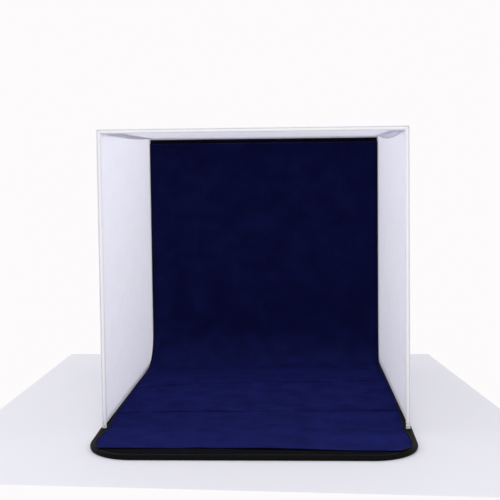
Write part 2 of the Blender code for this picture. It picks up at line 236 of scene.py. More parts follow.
def edge_line(start_y, end_y, half, radius, spacing):
    """A board's outer edge from its fold line's left end round to the right end.

    It gives the points, the way outwards at each, and the distance along the edge.
    """
    way = math.copysign(1, end_y - start_y)
    straight = abs(end_y - start_y) - radius
    sides = max(2, round(straight / spacing))
    turns = max(6, round(radius * math.pi / 2 / spacing))
    middle = max(2, round(2 * (half - radius) / spacing))
    points = [(-half, start_y + way * straight * i / sides, -1, 0) for i in range(sides)]
    for turn in np.linspace(0, math.pi / 2, turns, endpoint=False):
        out, forward = math.cos(turn), math.sin(turn)
        x = radius - half - radius * out
        points.append((x, end_y - way * radius * (1 - forward), -out, way * forward))
    for i in range(middle // 2):
        points.append(((radius - half) * (1 - 2 * i / middle), end_y, 0, way))
    mirrored = [(-x, y, -across, forward) for x, y, across, forward in reversed(points)]
    line = np.array([*points, (0, end_y, 0, way), *mirrored])
    return line[:, :2], line[:, 2:], travelled(spans(line[:, :2]))


def slab(name, outline, low, high, edge, material):
    """A flat closed body over an outline, with its edges rounded by that radius."""
    outline = np.array(outline, float)
    following = np.roll(outline, -1, 0)
    if np.sum(outline[:, 0] * following[:, 1] - following[:, 0] * outline[:, 1]) < 0:
        outline = outline[::-1]
    side = np.roll(outline, -1, 0) - outline
    outward = unit(np.stack([side[:, 1], -side[:, 0]], 1))
    behind = np.roll(outward, 1, 0)
    meeting = 1 + np.sum(outward * behind, axis=1, keepdims=True)
    mitre = (outward + behind) / np.maximum(meeting, mitre_limit)
    turns = np.linspace(0, math.pi / 2, board_edge_steps)
    levels = list(zip(edge * (1 - np.sin(turns)), edge * (1 - np.cos(turns))))
    rings = [(board_cap_inset, low), *[(inset, low + rise) for inset, rise in levels]]
    rings += [(inset, high - rise) for inset, rise in reversed(levels)]
    rings.append((board_cap_inset, high))
    count = len(outline)
    places = [np.column_stack([outline - mitre * inset, np.full(count, z)]) for inset, z in rings]
    places = np.concatenate(places)
    faces, _ = grid_faces(len(rings), count, around=True)
    last = (len(rings) - 1) * count
    faces += [list(range(count - 1, -1, -1)), [last + j for j in range(count)]]
    cuts = [[places[v][:2] for v in face] for face in faces]
    return make_piece(name, places, faces, cuts, material)


oxford = oxford_material()
base_low, base_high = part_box("base_binding")
flap_low, flap_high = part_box("flap_binding")
base_half = base_high.x
board_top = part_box("base_board")[1].z
base_edge = (base_low.y, base_high.y, base_half, rear_radius)
flap_edge = (flap_high.y, flap_low.y, base_half, flap_radius)
for board_name, node, edge, body in (
    ("base_cover", "base_board", base_edge, "base"),
    ("flap_cover", "flap_board", flap_edge, "flap"),
):
    line, outward, _ = edge_line(*edge, board_corner_spacing)
    outline = line - outward * board_under_tape
    cover = slab(board_name, outline, 0, board_top, board_edge_radius, oxford)
    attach(cover, body)
    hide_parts(node)

# Binding. A black grosgrain tape is folded over each board's edge and sewn through, so it
# stands up between the stitches and the edge, and puckers a little along its length.
tape_width = 0.007
tape_low = 0.0003
tape_thickness = 0.0004
tape_round_share = 0.3
tape_round_angles = range(80, -81, -20)
tape_under_share = 0.3
tape_groove_share = 0.4
tape_swell = 0.0003
tape_pucker = 0.00012
tape_pucker_length = 0.021
tape_pucker_seed = 3
tape_lift_share = 0.6
tape_lift_stitches = 3
tape_spacing = 0.0032
tape_stitch_inset = 0.0016
tape_stitch_share = 0.7
tape_rib = 0.0016
tape_colours = ("#050506", "#0e0e11")
stitch_pitch = 0.0042
stitch_length = 0.0031
stitch_width = 0.0006
stitch_least_share = 0.88
stitch_seed = 7
fold_margin_steps = 3
thread_spread = 0.1
black_thread_colours = ("#24242a", "#3a3a42")


def drift(u, v, size, seed):
    """A smooth value from -1 to 1 that wanders over a surface in patches of that size."""
    return noise.noise(Vector((u / size, v / size, seed)))


def swept_body(name, rings, distances, material, ends=True):
    """A closed body through rings of places; its cloth runs along it and around it.

    With no ends, the last ring joins the first one.
    """
    rings = np.asarray(rings, float)
    rows, columns = rings.shape[:2]
    around = travelled(spans(np.concatenate([rings, rings[:, :1]], axis=1), 1).mean(axis=0))
    faces, cells = grid_faces(rows, columns, around=True)
    cuts = [[(around[c], distances[r]) for r, c in cell] for cell in cells]
    last = (rows - 1) * columns
    if ends:
        faces += [list(range(columns)), [last + j for j in range(columns)]]
        cuts += [[(around[j], distances[r]) for j in range(columns)] for r in (0, rows - 1)]
    else:
        here, there = distances[-1], distances[-1] + tape_thickness
        for j in range(columns):
            k = (j + 1) % columns
            faces.append([last + j, last + k, k, j])
            corners = ((j, here), (j + 1, here), (j + 1, there), (j, there))
            cuts.append([(around[c], distance) for c, distance in corners])
    return make_piece(name, rings, faces, cuts, material, sharp=50)


def tape_material():
    """Black grosgrain polyester tape: fine cross ribs that catch a thin grey light.

    The real ribs lie 0.6 mm apart, too fine to show, so they are drawn 1.6 mm apart.
    """
    settings = {"Roughness": 0.6, "IOR": 1.5, "Specular IOR Level": 0.05}
    material, tree, shader = start_material("black_grosgrain_tape", settings)
    place = add_node(tree, "ShaderNodeUVMap", {"uv_map": "cut"})
    settings = {"Vector": place, "Scale": wave_repeat / tape_rib, "bands_direction": "Y"}
    ribs = add_node(tree, "ShaderNodeTexWave", settings).outputs["Fac"]
    shade_and_raise(tree, shader, ribs, tape_colours, {"Strength": 0.4, "Distance": 0.0003})
    return material


def thread_material(name, colours):
    """Spun polyester thread: twisted matt plies, so its colour turns along each stitch."""
    settings = {"Roughness": 0.65, "IOR": 1.5, "Sheen Weight": 0.2, "Sheen Roughness": 0.5}
    material, tree, shader = start_material(name, settings)
    place = add_node(tree, "ShaderNodeTexCoord").outputs["Object"]
    colour, _ = mottle(tree, place, stitch_length / 2, thread_spread, colours)
    set_node(tree, shader, {"Base Color": colour})
    return material


def stitch_tree():
    """The node tree that lays stitches along the edges of a mesh line."""
    tree = bpy.data.node_groups.new("stitch_row", "GeometryNodeTree")
    tree.is_modifier = True
    tree.interface.new_socket(name="Row", in_out="OUTPUT", socket_type="NodeSocketGeometry")
    inputs = {"Line": "Geometry", "Pitch": "Float", "Size": "Vector", "Seed": "Int", "Thread": "Material"}
    for name, kind in inputs.items():
        tree.interface.new_socket(name=name, in_out="INPUT", socket_type="NodeSocket" + kind)
    given = add_node(tree, "NodeGroupInput").outputs
    curve = add_node(tree, "GeometryNodeMeshToCurve", {"Mesh": given["Line"]})
    settings = {"mode": "LENGTH", "Curve": curve, "Length": given["Pitch"]}
    spots = add_node(tree, "GeometryNodeCurveToPoints", settings).outputs
    ball = add_node(tree, "GeometryNodeMeshUVSphere", {"Segments": 6, "Rings": 4, "Radius": 0.5})
    stitch = add_node(tree, "GeometryNodeTransform", {"Geometry": ball, "Scale": given["Size"]})
    settings = {"data_type": "FLOAT", 2: stitch_least_share, 3: 1.0, "Seed": given["Seed"]}
    uneven = add_node(tree, "FunctionNodeRandomValue", settings).outputs[1]
    settings = {"Points": spots["Points"], "Rotation": spots["Rotation"]}
    settings.update({"Instance": stitch, "Scale": uneven})
    laid = add_node(tree, "GeometryNodeInstanceOnPoints", settings)
    real = add_node(tree, "GeometryNodeRealizeInstances", {"Geometry": laid})
    settings = {"Geometry": real, "Material": given["Thread"]}
    add_node(tree, "NodeGroupOutput", {0: add_node(tree, "GeometryNodeSetMaterial", settings)})
    return tree


def stitch_rows(name, lines, thread):
    """A plain mesh of the stitches along some lines of places."""
    places, edges = [], []
    for line in lines:
        edges += [(i - 1, i) for i in range(len(places) + 1, len(places) + len(line))]
        places += [tuple(place) for place in line]
    mesh = bpy.data.meshes.new(name)
    mesh.from_pydata(places, edges, [])
    helper = add_object(name + "_line", mesh)
    modifier = helper.modifiers.new("stitches", "NODES")
    modifier.node_group = stitches
    size = (stitch_width, stitch_width, stitch_length)
    values = {"Pitch": stitch_pitch, "Size": size, "Seed": stitch_seed, "Thread": thread}
    for item in stitches.interface.items_tree:
        if item.name in values:
            modifier[item.identifier] = values[item.name]
    helper.update_tag()
    found = helper.evaluated_get(bpy.context.evaluated_depsgraph_get())
    sewn = bpy.data.meshes.new_from_object(found)
    bpy.data.objects.remove(helper)
    sewn.shade_smooth()
    return add_object(name, sewn)


def binding_ring(point, outward, swell):
    """The section of the folded tape at one place of the edge."""
    half, middle = (board_top - tape_low) / 2, (board_top + tape_low) / 2
    seam = tape_stitch_inset - tape_width
    upper = [
        (-tape_width, 0),
        (tape_thickness / 2 - tape_width, tape_thickness),
        (seam - tape_thickness, tape_thickness),
        (seam, tape_thickness * tape_groove_share),
        (seam + tape_thickness, tape_thickness),
        (-tape_width / 2, tape_thickness + swell),
    ]
    section = [(offset, board_top + rise) for offset, rise in upper]
    for turn in np.radians(tape_round_angles):
        out, up = math.cos(turn), math.sin(turn)
        offset = tape_width * tape_round_share * (out - 1) + swell * out
        section.append((offset, middle + (half + swell * abs(up)) * up))
    section += [(offset, tape_low - rise * tape_under_share) for offset, rise in reversed(upper)]
    return [(*(point + outward * offset), z) for offset, z in section]


tape = tape_material()
black_thread = thread_material("black_polyester_thread", black_thread_colours)
stitches = stitch_tree()
for tape_name, node, edge, body in (
    ("base_edge_tape", "base_binding", base_edge, "base"),
    ("flap_edge_tape", "flap_binding", flap_edge, "flap"),
):
    rings, row = [], []
    line, outward, distances = edge_line(*edge, tape_spacing)
    for point, out, distance in zip(line, outward, distances):
        lift = math.cos(2 * math.pi * distance / stitch_pitch / tape_lift_stitches)
        wander = drift(distance, 0, tape_pucker_length, tape_pucker_seed)
        swell = tape_swell + tape_pucker * (wander + tape_lift_share * lift)
        rings.append(binding_ring(point, out, max(swell, 0)))
        inset = tape_width - tape_stitch_inset
        row.append((*(point - out * inset), board_top + tape_thickness * tape_stitch_share))
    binding = swept_body(tape_name, rings, distances, tape)
    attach(binding, body)
    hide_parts(node)
    row = row[fold_margin_steps:-fold_margin_steps]
    sewn = stitch_rows(tape_name + "_stitches", [row], black_thread)
    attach(sewn, body)

# Fold roll. Where the flap meets the base, the two covers are sewn into one narrow roll of
# cloth that works as the hinge. It stands just proud of the boards.
roll_sides = 12
roll_swell = 0.00012
roll_seed = 5
roll_spacing = 0.006
roll_end_length = 0.0026
roll_end_steps = 6
roll_end_drop = 0.0016
roll_end_share = 0.45
roll_low, roll_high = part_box("fold_bead")
roll_radius = (roll_high.z - roll_low.z) / 2
roll_centre = (roll_high + roll_low) / 2
ends = np.linspace(0, roll_end_length, roll_end_steps)
steps = round((roll_high.x - roll_low.x) / roll_spacing)
between_ends = np.linspace(roll_low.x + roll_end_length, roll_high.x - roll_end_length, steps)
distances = np.concatenate([roll_low.x + ends[:-1], between_ends, roll_high.x - ends[-2::-1]])
turns = np.arange(roll_sides) * 2 * math.pi / roll_sides
rings = []
for x in distances:
    out = max(0, 1 - min(x - roll_low.x, roll_high.x - x) / roll_end_length)
    radius = roll_radius + roll_swell * (1 + drift(x, 0, tape_pucker_length, roll_seed))
    radius *= 1 - (1 - roll_end_share) * out * out
    z = roll_centre.z - roll_end_drop * out * out
    rings.append([(x, roll_centre.y + radius * math.cos(t), z + radius * math.sin(t)) for t in turns])
fold_roll = swept_body("fold_roll", rings, distances, tape)
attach(fold_roll, "base")
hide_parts("fold_bead")

# Brackets, feet and elbows. They are moulded in white ABS: a bracket is riveted through the
# base at each corner, a foot turns in it, and an elbow joins each post to the top rod.
plastic_grain = 0.0008
plastic_colours = ("#ececea", "#efefee")
grain_spread = 0.15


def dressed(node_name, material):
    """A frame node that shows as it is, with that material on it."""
    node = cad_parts[node_name]
    node.data.materials.clear()
    node.data.materials.append(material)
    return node


settings = {"Roughness": 0.42, "IOR": 1.54, "Specular IOR Level": 0.5}
plastic, tree, shader = start_material("white_moulded_abs", settings)
# Spark-eroded moulds leave an even fine grain, drawn at 0.8 mm so that it shows.
place = add_node(tree, "ShaderNodeTexCoord").outputs["Object"]
colour, grain = mottle(tree, place, plastic_grain, grain_spread, plastic_colours)
bump = add_node(tree, "ShaderNodeBump", {"Strength": 0.15, "Distance": 0.0002, "Height": grain})
set_node(tree, shader, {"Base Color": colour, "Normal": bump})
for end in ("front", "rear"):
    for side in ("left", "right"):
        for part in ("bracket", "foot", "elbow"):
            dressed(f"{end}_{side}_{part}", plastic)

# Pins. A zinc-plated steel pin goes through each bracket and foot, and its ends are peened over.
# The plating is pale and satin, with faint clouds left by the bath.
zinc_clouds = 0.0012
zinc_colours = ("#aeb2b6", "#c9ccd0")
zinc, tree, shader = start_material("zinc_plated_steel", {"Metallic": 1.0, "Roughness": 0.34})
place = add_node(tree, "ShaderNodeTexCoord").outputs["Object"]
colour, _ = mottle(tree, place, zinc_clouds, grain_spread, zinc_colours)
set_node(tree, shader, {"Base Color": colour})
for end in ("front", "rear"):
    for side in ("left", "right"):
        dressed(f"{end}_{side}_pin", zinc)

# Rods. Each post and top rod is a pultruded glass-fibre rod pushed into its foot and elbows.
# Its fibres run lengthwise, so pale streaks follow it under a smooth clear resin.
streak_width = 0.0006
streak_length = 0.030
rod_colours = ("#cfd2c8", "#e4e6de")
for part, stretch in (
    ("post", (1 / streak_width, 1 / streak_width, 1 / streak_length)),
    ("top_rod", (1 / streak_length, 1 / streak_width, 1 / streak_width)),
):
    settings = {"Roughness": 0.3, "IOR": 1.53, "Coat Weight": 0.2}
    glass_fibre, tree, shader = start_material(f"glass_fibre_{part}", settings)
    place = add_node(tree, "ShaderNodeTexCoord").outputs["Object"]
    place = add_node(tree, "ShaderNodeMapping", {"Scale": stretch, "Vector": place})
    colour, _ = mottle(tree, place, 1, grain_spread, rod_colours)
    set_node(tree, shader, {"Base Color": colour})
    for node_name in sorted(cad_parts):
        if node_name.endswith(part):
            dressed(node_name, glass_fibre)

# Sleeves. The edges of the front and back are hemmed into tubes of doubled white nylon, and
# the rods are pushed through them. Posts and top meet in mitred corners over the elbows.
sleeve_sides = 24
sleeve_spacing = 0.005
sleeve_wall = 0.0006
sleeve_swell = 0.00022
sleeve_rumple = 0.026
nylon_thread = 0.0012
nylon_cloud = 0.045
nylon_crinkle = 0.018
cloud_spread = 0.2
hem_colours = ("#f9f9fb", "#fefefe")
nylon_lit = "#fafaff"
hem_passing = 0.10
doubled_share = 0.55


def nylon_material(name, passing, colours):
    """White nylon taffeta: a thin, smooth, faintly cloudy weave that lets light through.

    Passing is the share of light that goes through one face, and less goes through where the
    cloth is doubled. The real yarns lie 0.2 mm apart, too fine to show, so they are drawn
    1.2 mm apart.
    """
    settings = {"Roughness": 0.55, "IOR": 1.53, "Sheen Weight": 0.08, "Sheen Roughness": 0.4}
    material, tree, shader = start_material(name, settings)
    place = add_node(tree, "ShaderNodeUVMap", {"uv_map": "cut"})
    colour, _ = mottle(tree, place, nylon_cloud, cloud_spread, colours)
    settings = {"Strength": 0.2, "Distance": 0.0002, "Height": weave_height(tree, place, nylon_thread)}
    fine = add_node(tree, "ShaderNodeBump", settings)
    settings = {"Scale": 1 / nylon_crinkle, "Detail": 3.0, "Roughness": 0.45, "Distortion": 0.8}
    crinkle = add_node(tree, "ShaderNodeTexNoise", {"Vector": place, **settings})
    settings = {"Strength": 0.25, "Distance": 0.0010, "Height": crinkle, "Normal": fine}
    bump = add_node(tree, "ShaderNodeBump", settings)
    set_node(tree, shader, {"Base Color": colour, "Normal": bump})
    settings = {"Color": linear(nylon_lit), "Normal": bump}
    lit = add_node(tree, "ShaderNodeBsdfTranslucent", settings)
    layers = add_node(tree, "ShaderNodeAttribute", {"attribute_name": "layers"}).outputs["Fac"]
    settings = {"Value": layers, "To Min": passing, "To Max": passing * doubled_share}
    share = add_node(tree, "ShaderNodeMapRange", settings)
    both = add_node(tree, "ShaderNodeMixShader", {0: share, 1: shader, 2: lit})
    set_node(tree, tree.nodes["Material Output"], {0: both})
    return material


def sleeve_body(name, radius, place_at, length, seed):
    """A sleeve whose cloth runs up its rumpled outside and back down its bore."""
    steps = round(length / sleeve_spacing)
    shares = np.linspace(0, 1, steps + 1)
    rings = []
    for way, rumpled in ((shares, True), (shares[::-1], False)):
        for share in way:
            ring = []
            for turn in np.arange(sleeve_sides) * 2 * math.pi / sleeve_sides:
                size = radius - sleeve_wall
                if rumpled:
                    rumple = drift(share * steps * sleeve_spacing, turn * radius, sleeve_rumple, seed)
                    size = radius + sleeve_swell * (1 + rumple) / 2
                ring.append(place_at(share, size * math.cos(turn), size * math.sin(turn)))
            rings.append(ring)
    distances = np.arange(len(rings)) * sleeve_spacing
    return swept_body(name, rings, distances, hem_nylon, ends=False)


hem_nylon = nylon_material("white_nylon_taffeta_hem", hem_passing, hem_colours)
for end in ("front", "rear"):
    for seed, (side_name, side) in enumerate((("left", -1), ("right", 1), ("top", 0))):
        low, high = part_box(f"{end}_{side_name}_sleeve")
        radius = (high.y - low.y) / 2
        middle = (low + high) / 2
        reach, corner = high.x - radius, high.z - radius

        def place_at(share, cosine, sine):
            """A place a share of the way along, at that offset from the rod."""
            if side == 0:
                return (2 * share - 1) * (reach + sine), middle.y + cosine, middle.z + sine
            top = corner + side * cosine
            return middle.x + cosine, middle.y + sine, low.z + (top - low.z) * share

        length = corner - low.z if side else 2 * reach
        hem = sleeve_body(f"{end}_{side_name}_hem", radius, place_at, length, seed)
        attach(hem, f"{end}_frame")
        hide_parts(f"{end}_{side_name}_sleeve")

# Side walls. Each is one panel of white nylon taffeta, sewn to the hems in front and behind,
# to the roof above and to the base below. It is drawn taut, with a slight bow and soft folds.
panel_spacing = 0.006
panel_thickness = 0.0008
panel_hem = 0.010
panel_hem_edge = 0.0015
panel_hem_extra = 0.0004
panel_ripple = 0.0014
panel_ripple_size = 0.075
panel_fade_power = 0.7
seam_columns = (2, -3)
base_seam_rows = (1,)
seam_pucker = 0.00018
seam_pucker_length = 0.017
wall_bow = 0.0022
wall_passing = 0.68
nylon_colours = ("#eeeef5", "#fafafe")
white_thread_colours = ("#d4d4dc", "#f2f2f6")
left_wall_folds = (
    (((0.11, 0.255), (-0.035, 0.197)), 0.007, 0.0030),
    (((-0.20, 0.06), (0.02, 0.14)), 0.012, 0.0026),
    (((0.33, 0.50), (0.20, 0.40)), 0.014, 0.0026),
)
right_wall_folds = (
    (((-0.19, 0.50), (-0.02, 0.41)), 0.013, 0.0028),
    (((0.30, 0.12), (0.12, 0.22)), 0.012, 0.0028),
    (((-0.20, 0.09), (-0.06, 0.16)), 0.009, 0.0024),
)
left_wall_seeds = (21, 25)
right_wall_seeds = (22, 26)


def drifts(across, along, size, seed):
    """The wandering value over whole grids of places."""
    flat = [drift(u, v, size, seed) for u, v in zip(across.ravel(), along.ravel())]
    return np.array(flat).reshape(across.shape)


def ramp(values, start, end):
    """A share that goes from nothing at a start to one at an end."""
    return np.clip((values - start) / (end - start), 0, 1)


def fold_height(across, along, folds):
    """The height of soft folds that follow lines over a cloth and fade at their ends.

    Each fold has its line's two ends, half its width and its height.
    """
    total = np.zeros(across.shape)
    for ((u0, v0), (u1, v1)), half_width, height in folds:
        du, dv = u1 - u0, v1 - v0
        held = ramp((across - u0) * du + (along - v0) * dv, 0, du * du + dv * dv)
        apart = np.hypot(across - u0 - held * du, along - v0 - held * dv)
        total += height * np.exp(-((apart / half_width) ** 2)) * (1 - np.abs(2 * held - 1) ** 3)
    return total


def edge_fade(places, start, end):
    """A value that is nothing at both edges of a cloth and one in its middle."""
    return np.sin(math.pi * ramp(places, start, end)) ** panel_fade_power


def panel_relief(across, along, held, bow, ripple, folds, seed):
    """How far a drawn cloth stands out: its bow, its ripples and its soft folds."""
    wander = drifts(across, along, panel_ripple_size, seed)
    return held * (bow + ripple * wander) + fold_height(across, along, folds) * np.sqrt(held)


def hemmed(*edges):
    """The thickness of a panel with a hem at the low and high end of each kind of place."""
    start, end = panel_hem + panel_hem_edge / 2, panel_hem - panel_hem_edge / 2
    hems = [ramp(np.minimum(places - low, high - places), start, end) for places, low, high in edges]
    return panel_thickness + panel_hem_extra * np.maximum(*hems)


def outward_of(points):
    """The way each place of a cloth faces."""
    return unit(np.cross(np.gradient(points, axis=1), np.gradient(points, axis=0)))


def sheet_faces(points, thickness):
    """The two faces of a cloth of that thickness through a grid of places."""
    half = np.broadcast_to(np.asarray(thickness) / 2, points.shape[:2])[..., None]
    half = outward_of(points) * half
    return points + half, points - half


def sheet_body(name, points, thickness, material):
    """A thin closed cloth through a grid of places; its "layers" tell where it is doubled."""
    rows, columns = points.shape[:2]
    size = rows * columns
    down, over = travelled(spans(points).mean(axis=1)), travelled(spans(points, 1).mean(axis=0))
    faces, cells = grid_faces(rows, columns)
    behind, more = grid_faces(rows, columns, first=size)
    cuts = [[(over[c], down[r]) for r, c in cell] for cell in cells + more]
    faces += behind
    rim = [(0, j) for j in range(columns - 1)]
    rim += [(i, columns - 1) for i in range(rows - 1)]
    rim += [(rows - 1, j) for j in range(columns - 1, 0, -1)]
    rim += [(i, 0) for i in range(rows - 1, 0, -1)]
    for here, there in zip(rim, rim[1:] + rim[:1]):
        a, b = (r * columns + c for r, c in (here, there))
        faces.append([a, b, b + size, a + size])
        cuts.append([(over[c], down[r]) for r, c in (here, there, there, here)])
    piece = make_piece(name, np.array(sheet_faces(points, thickness)), faces, cuts, material)
    thick = np.broadcast_to(thickness, (rows, columns)).ravel()
    layers = ramp(thick, panel_thickness, panel_thickness + panel_hem_extra)
    attribute = piece.data.attributes.new("layers", "FLOAT", "POINT")
    attribute.data.foreach_set("value", np.tile(layers, 2).astype(np.float32))
    return piece


def seam_stitches(name, points, thickness, columns, rows):
    """Stitches on both faces of a cloth, along some columns and rows of its grid."""
    faces = sheet_faces(points, thickness)
    lines = [face[:, k] for face in faces for k in columns]
    return stitch_rows(name, lines + [face[k] for face in faces for k in rows], white_thread)


def flat_size(points):
    """The width and length of the flat cloth that lies through a grid of places."""
    return float(spans(points, 1).sum(axis=1).mean()), float(spans(points).sum(axis=0).mean())


def panel_steps(start, end):
    """Even places from a start to an end, one grid spacing apart."""
    return np.linspace(start, end, round(abs(end - start) / panel_spacing) + 1)


nylon = nylon_material("white_nylon_taffeta", wall_passing, nylon_colours)
white_thread = thread_material("white_polyester_thread", white_thread_colours)
wall_low, wall_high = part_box("right_wall")
roof_low, roof_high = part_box("roof")
wall_ends = [wall_high.x - panel_thickness / 2, wall_low.x + panel_thickness / 2]
roof_ends = [roof_high.z - panel_thickness / 2, roof_low.z + panel_thickness / 2]
panel_depths = panel_steps(wall_low.y, wall_high.y)
wall_line = np.interp(panel_depths, [wall_low.y, wall_high.y], wall_ends)
roof_line = np.interp(panel_depths, [wall_low.y, wall_high.y], roof_ends)
depth_fade = edge_fade(panel_depths, wall_low.y, wall_high.y)
wall_top = roof_line - panel_thickness
rise = np.linspace(0, 1, round((wall_top[0] - wall_low.z) / panel_spacing) + 1)[:, None]
for side_name, side, folds, (ripple_seed, pucker_seed) in (
    ("left", -1, left_wall_folds, left_wall_seeds),
    ("right", 1, right_wall_folds, right_wall_seeds),
):
    heights = wall_low.z + (wall_top - wall_low.z) * rise
    depths = np.broadcast_to(panel_depths, heights.shape)
    held = depth_fade * edge_fade(rise, 0, 1)
    bow = panel_relief(depths, heights, held, wall_bow, panel_ripple, folds, ripple_seed)
    bow += seam_pucker * (1 - held) * drifts(depths, heights, seam_pucker_length, pucker_seed)
    points = np.stack([side * (wall_line + bow), depths, heights], axis=2)
    thick = hemmed((depths, wall_low.y, wall_high.y), (heights, wall_low.z, roof_high.z))
    wall = sheet_body(f"{side_name}_wall_panel", points, thick, nylon)
    sewn = seam_stitches(f"{side_name}_wall_stitches", points, thick, seam_columns, base_seam_rows)
    for piece in (wall, sewn):
        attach(piece, "base")
        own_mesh(piece)
    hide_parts(f"{side_name}_wall")
    flat_size(points)

# Roof. White nylon, sewn to the top of both walls and to the two top hems. It is a copy of the
# wall nylon that lets less light through, as painted shade, so it shows a shade darker. It sags a
# little in the middle, and its side seams are sewn through from above.
roof_sag = 0.0026
# Painted shade: the roof lets less light through than the walls, so it shows darker.
shaded_roof_passing = 0.58
roof_seed = 31
roof_seam_columns = (1, -2)
roof_folds = (
    (((-0.27, -0.20), (-0.10, 0.02)), 0.013, 0.0026),
    (((0.27, -0.19), (0.13, -0.03)), 0.012, 0.0025),
    (((-0.22, 0.36), (-0.05, 0.20)), 0.013, 0.0024),
)
shares = np.linspace(-1, 1, round(2 * wall_ends[0] / panel_spacing) + 1)
across = (wall_line + panel_thickness / 2)[:, None] * shares
depths = np.broadcast_to(panel_depths[:, None], across.shape)
held = depth_fade[:, None] * edge_fade(shares, -1, 1)
lift = panel_relief(across, depths, held, -roof_sag, -panel_ripple, roof_folds, roof_seed)
points = np.stack([across, depths, roof_line[:, None] + lift], axis=2)
thick = hemmed((across, -wall_ends[1], wall_ends[1]), (depths, wall_low.y, wall_high.y))
shaded_roof_nylon = nylon_material("white_nylon_taffeta_roof_shaded", shaded_roof_passing, nylon_colours)
roof = sheet_body("roof_panel", points, thick, shaded_roof_nylon)
sewn = seam_stitches("roof_stitches", points, thick, roof_seam_columns, seam_columns)
for piece in (roof, sewn):
    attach(piece, "base")
    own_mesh(piece)
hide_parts("roof")
flat_size(points)

# Slack seam edges. Under each side of the roof the seam's spare cloth hangs inside in a shallow
# curve, deeper on the right. It is a single layer with a narrow turned hem. The left one is in a
# copy of the nylon that lets less light through, as painted shade, so it shows darker.
slack_rows = 8
slack_end_hang = 0.0012
slack_sway = 0.0012
slack_sway_size = 0.05
slack_roll = 0.0012
slack_roll_shares = (0.7, 0.825)
# Painted shade: the left slack's nylon lets far less light through, so it shows darker.
shaded_seam_passing = 0.30
seam_gap = 0.0003
shaded_seam_nylon = nylon_material("white_nylon_taffeta_seam_shaded", shaded_seam_passing, nylon_colours)
# Each side has the depth it hangs to, the width it was cut to, and a skew of its curve.
for side_name, side, hang, cut, skew_power, seed, material in (
    ("left", -1, 0.008, 0.010, 0.6, 41, shaded_seam_nylon),
    ("right", 1, 0.014, 0.014, 1.0, 42, nylon),
):
    low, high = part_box(f"{side_name}_roof_flap")
    depths = panel_steps(low.y, high.y)
    share = ramp(depths, low.y, high.y)
    inside = np.interp(depths, [wall_low.y, wall_high.y], wall_ends) - panel_thickness - seam_gap
    top = np.interp(depths, [wall_low.y, wall_high.y], roof_ends) - panel_thickness / 2 - seam_gap
    bulge = np.maximum(np.sin(math.pi * share**skew_power), np.sin(math.pi * share))
    down = np.linspace(0, 1, slack_rows + 1)[:, None]
    heights = top - (slack_end_hang + (hang - slack_end_hang) * bulge) * down
    along = np.broadcast_to(depths, heights.shape)
    sway = slack_sway * down**2 * (1 + drifts(along, heights, slack_sway_size, seed))
    fade = edge_fade(share, 0, 1)
    points = np.stack([side * (inside - sway * fade), along, heights], axis=2)
    thick = panel_thickness + slack_roll * ramp(down, *slack_roll_shares) * fade
    slack = sheet_body(f"{side_name}_roof_slack", points, thick, material)
    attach(slack, "base")
    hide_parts(f"{side_name}_roof_flap")
    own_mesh(slack)
    area = float(np.sum(spans(points)) * panel_spacing)
    flat_size(points)[0]

# Back wall. White nylon again, sewn into the hems of the rear frame, so it folds with that
# frame. Its lower corners are cut away over the brackets.
notch_width = 0.0095
notch_rise = 0.0078
notch_step = 0.0002
back_seam_columns = (4, -5)
back_seam_rows = (-2,)
back_bow = 0.0020
back_seed = 51
back_folds = (
    (((-0.25, 0.53), (-0.06, 0.39)), 0.012, 0.0030),
    (((0.26, 0.52), (0.10, 0.36)), 0.011, 0.0026),
    (((-0.26, 0.05), (-0.08, 0.17)), 0.012, 0.0028),
    (((0.25, 0.07), (0.04, 0.13)), 0.013, 0.0026),
)
low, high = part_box("back_wall")
pivot_z = (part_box("rear_left_pin")[0].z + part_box("rear_left_pin")[1].z) / 2
half = high.x
notch = half - notch_width
corners = [-notch - notch_step, -notch, notch, notch + notch_step]
shares = np.unique(np.concatenate([panel_steps(-half, half), corners]))
bottom = np.where(np.abs(shares) > notch + notch_step / 2, pivot_z + notch_rise, low.z)
rise = np.linspace(0, 1, round((high.z - low.z) / panel_spacing) + 1)[:, None]
heights = bottom + (high.z - bottom) * rise
wide = np.broadcast_to(shares, heights.shape)
held = edge_fade(wide, -half, half) * edge_fade(heights, low.z, high.z)
bow = panel_relief(wide, heights, held, back_bow + panel_ripple, panel_ripple, back_folds, back_seed)
points = np.stack([wide, (low.y + high.y) / 2 + bow, heights], axis=2)
back = sheet_body("back_wall_panel", points, panel_thickness, nylon)
sewn = seam_stitches(
    "back_wall_stitches", points, panel_thickness, back_seam_columns, back_seam_rows
)
for piece in (back, sewn):
    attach(piece, "rear_frame")
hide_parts("back_wall")
flat_size(points)

# Hook and loop strips at the top of the back. The white hook strip is sewn to the back wall,
# and the black loop strip along the top edge of the cloth is pressed onto it.
strip_edge_radius = 0.0003
strip_stitch_inset = 0.0022
loop_stitch_lap = 0.0012
hook_pitch = 0.0018
white_hook_colours = ("#f2f2f4", "#e2e2e6")
black_loop_colours = ("#101013", "#070709")


def touch_tape_material(name, colours, roughness, shine):
    """Nylon touch tape: close rows of hooks or loops on a woven ground.

    The real hooks stand 1 mm apart, too fine to show, so they are drawn 1.8 mm apart.
    """
    settings = {"Roughness": roughness, "IOR": 1.53, "Specular IOR Level": shine}
    material, tree, shader = start_material(name, settings)
    place = add_node(tree, "ShaderNodeUVMap", {"uv_map": "cut"})
    settings = {"Vector": place, "Scale": 1 / hook_pitch, "Randomness": 0.35}
    hooks = add_node(tree, "ShaderNodeTexVoronoi", settings)
    bump = {"Strength": 0.6, "Distance": 0.0005, "invert": True}
    shade_and_raise(tree, shader, hooks, colours, bump)
    return material


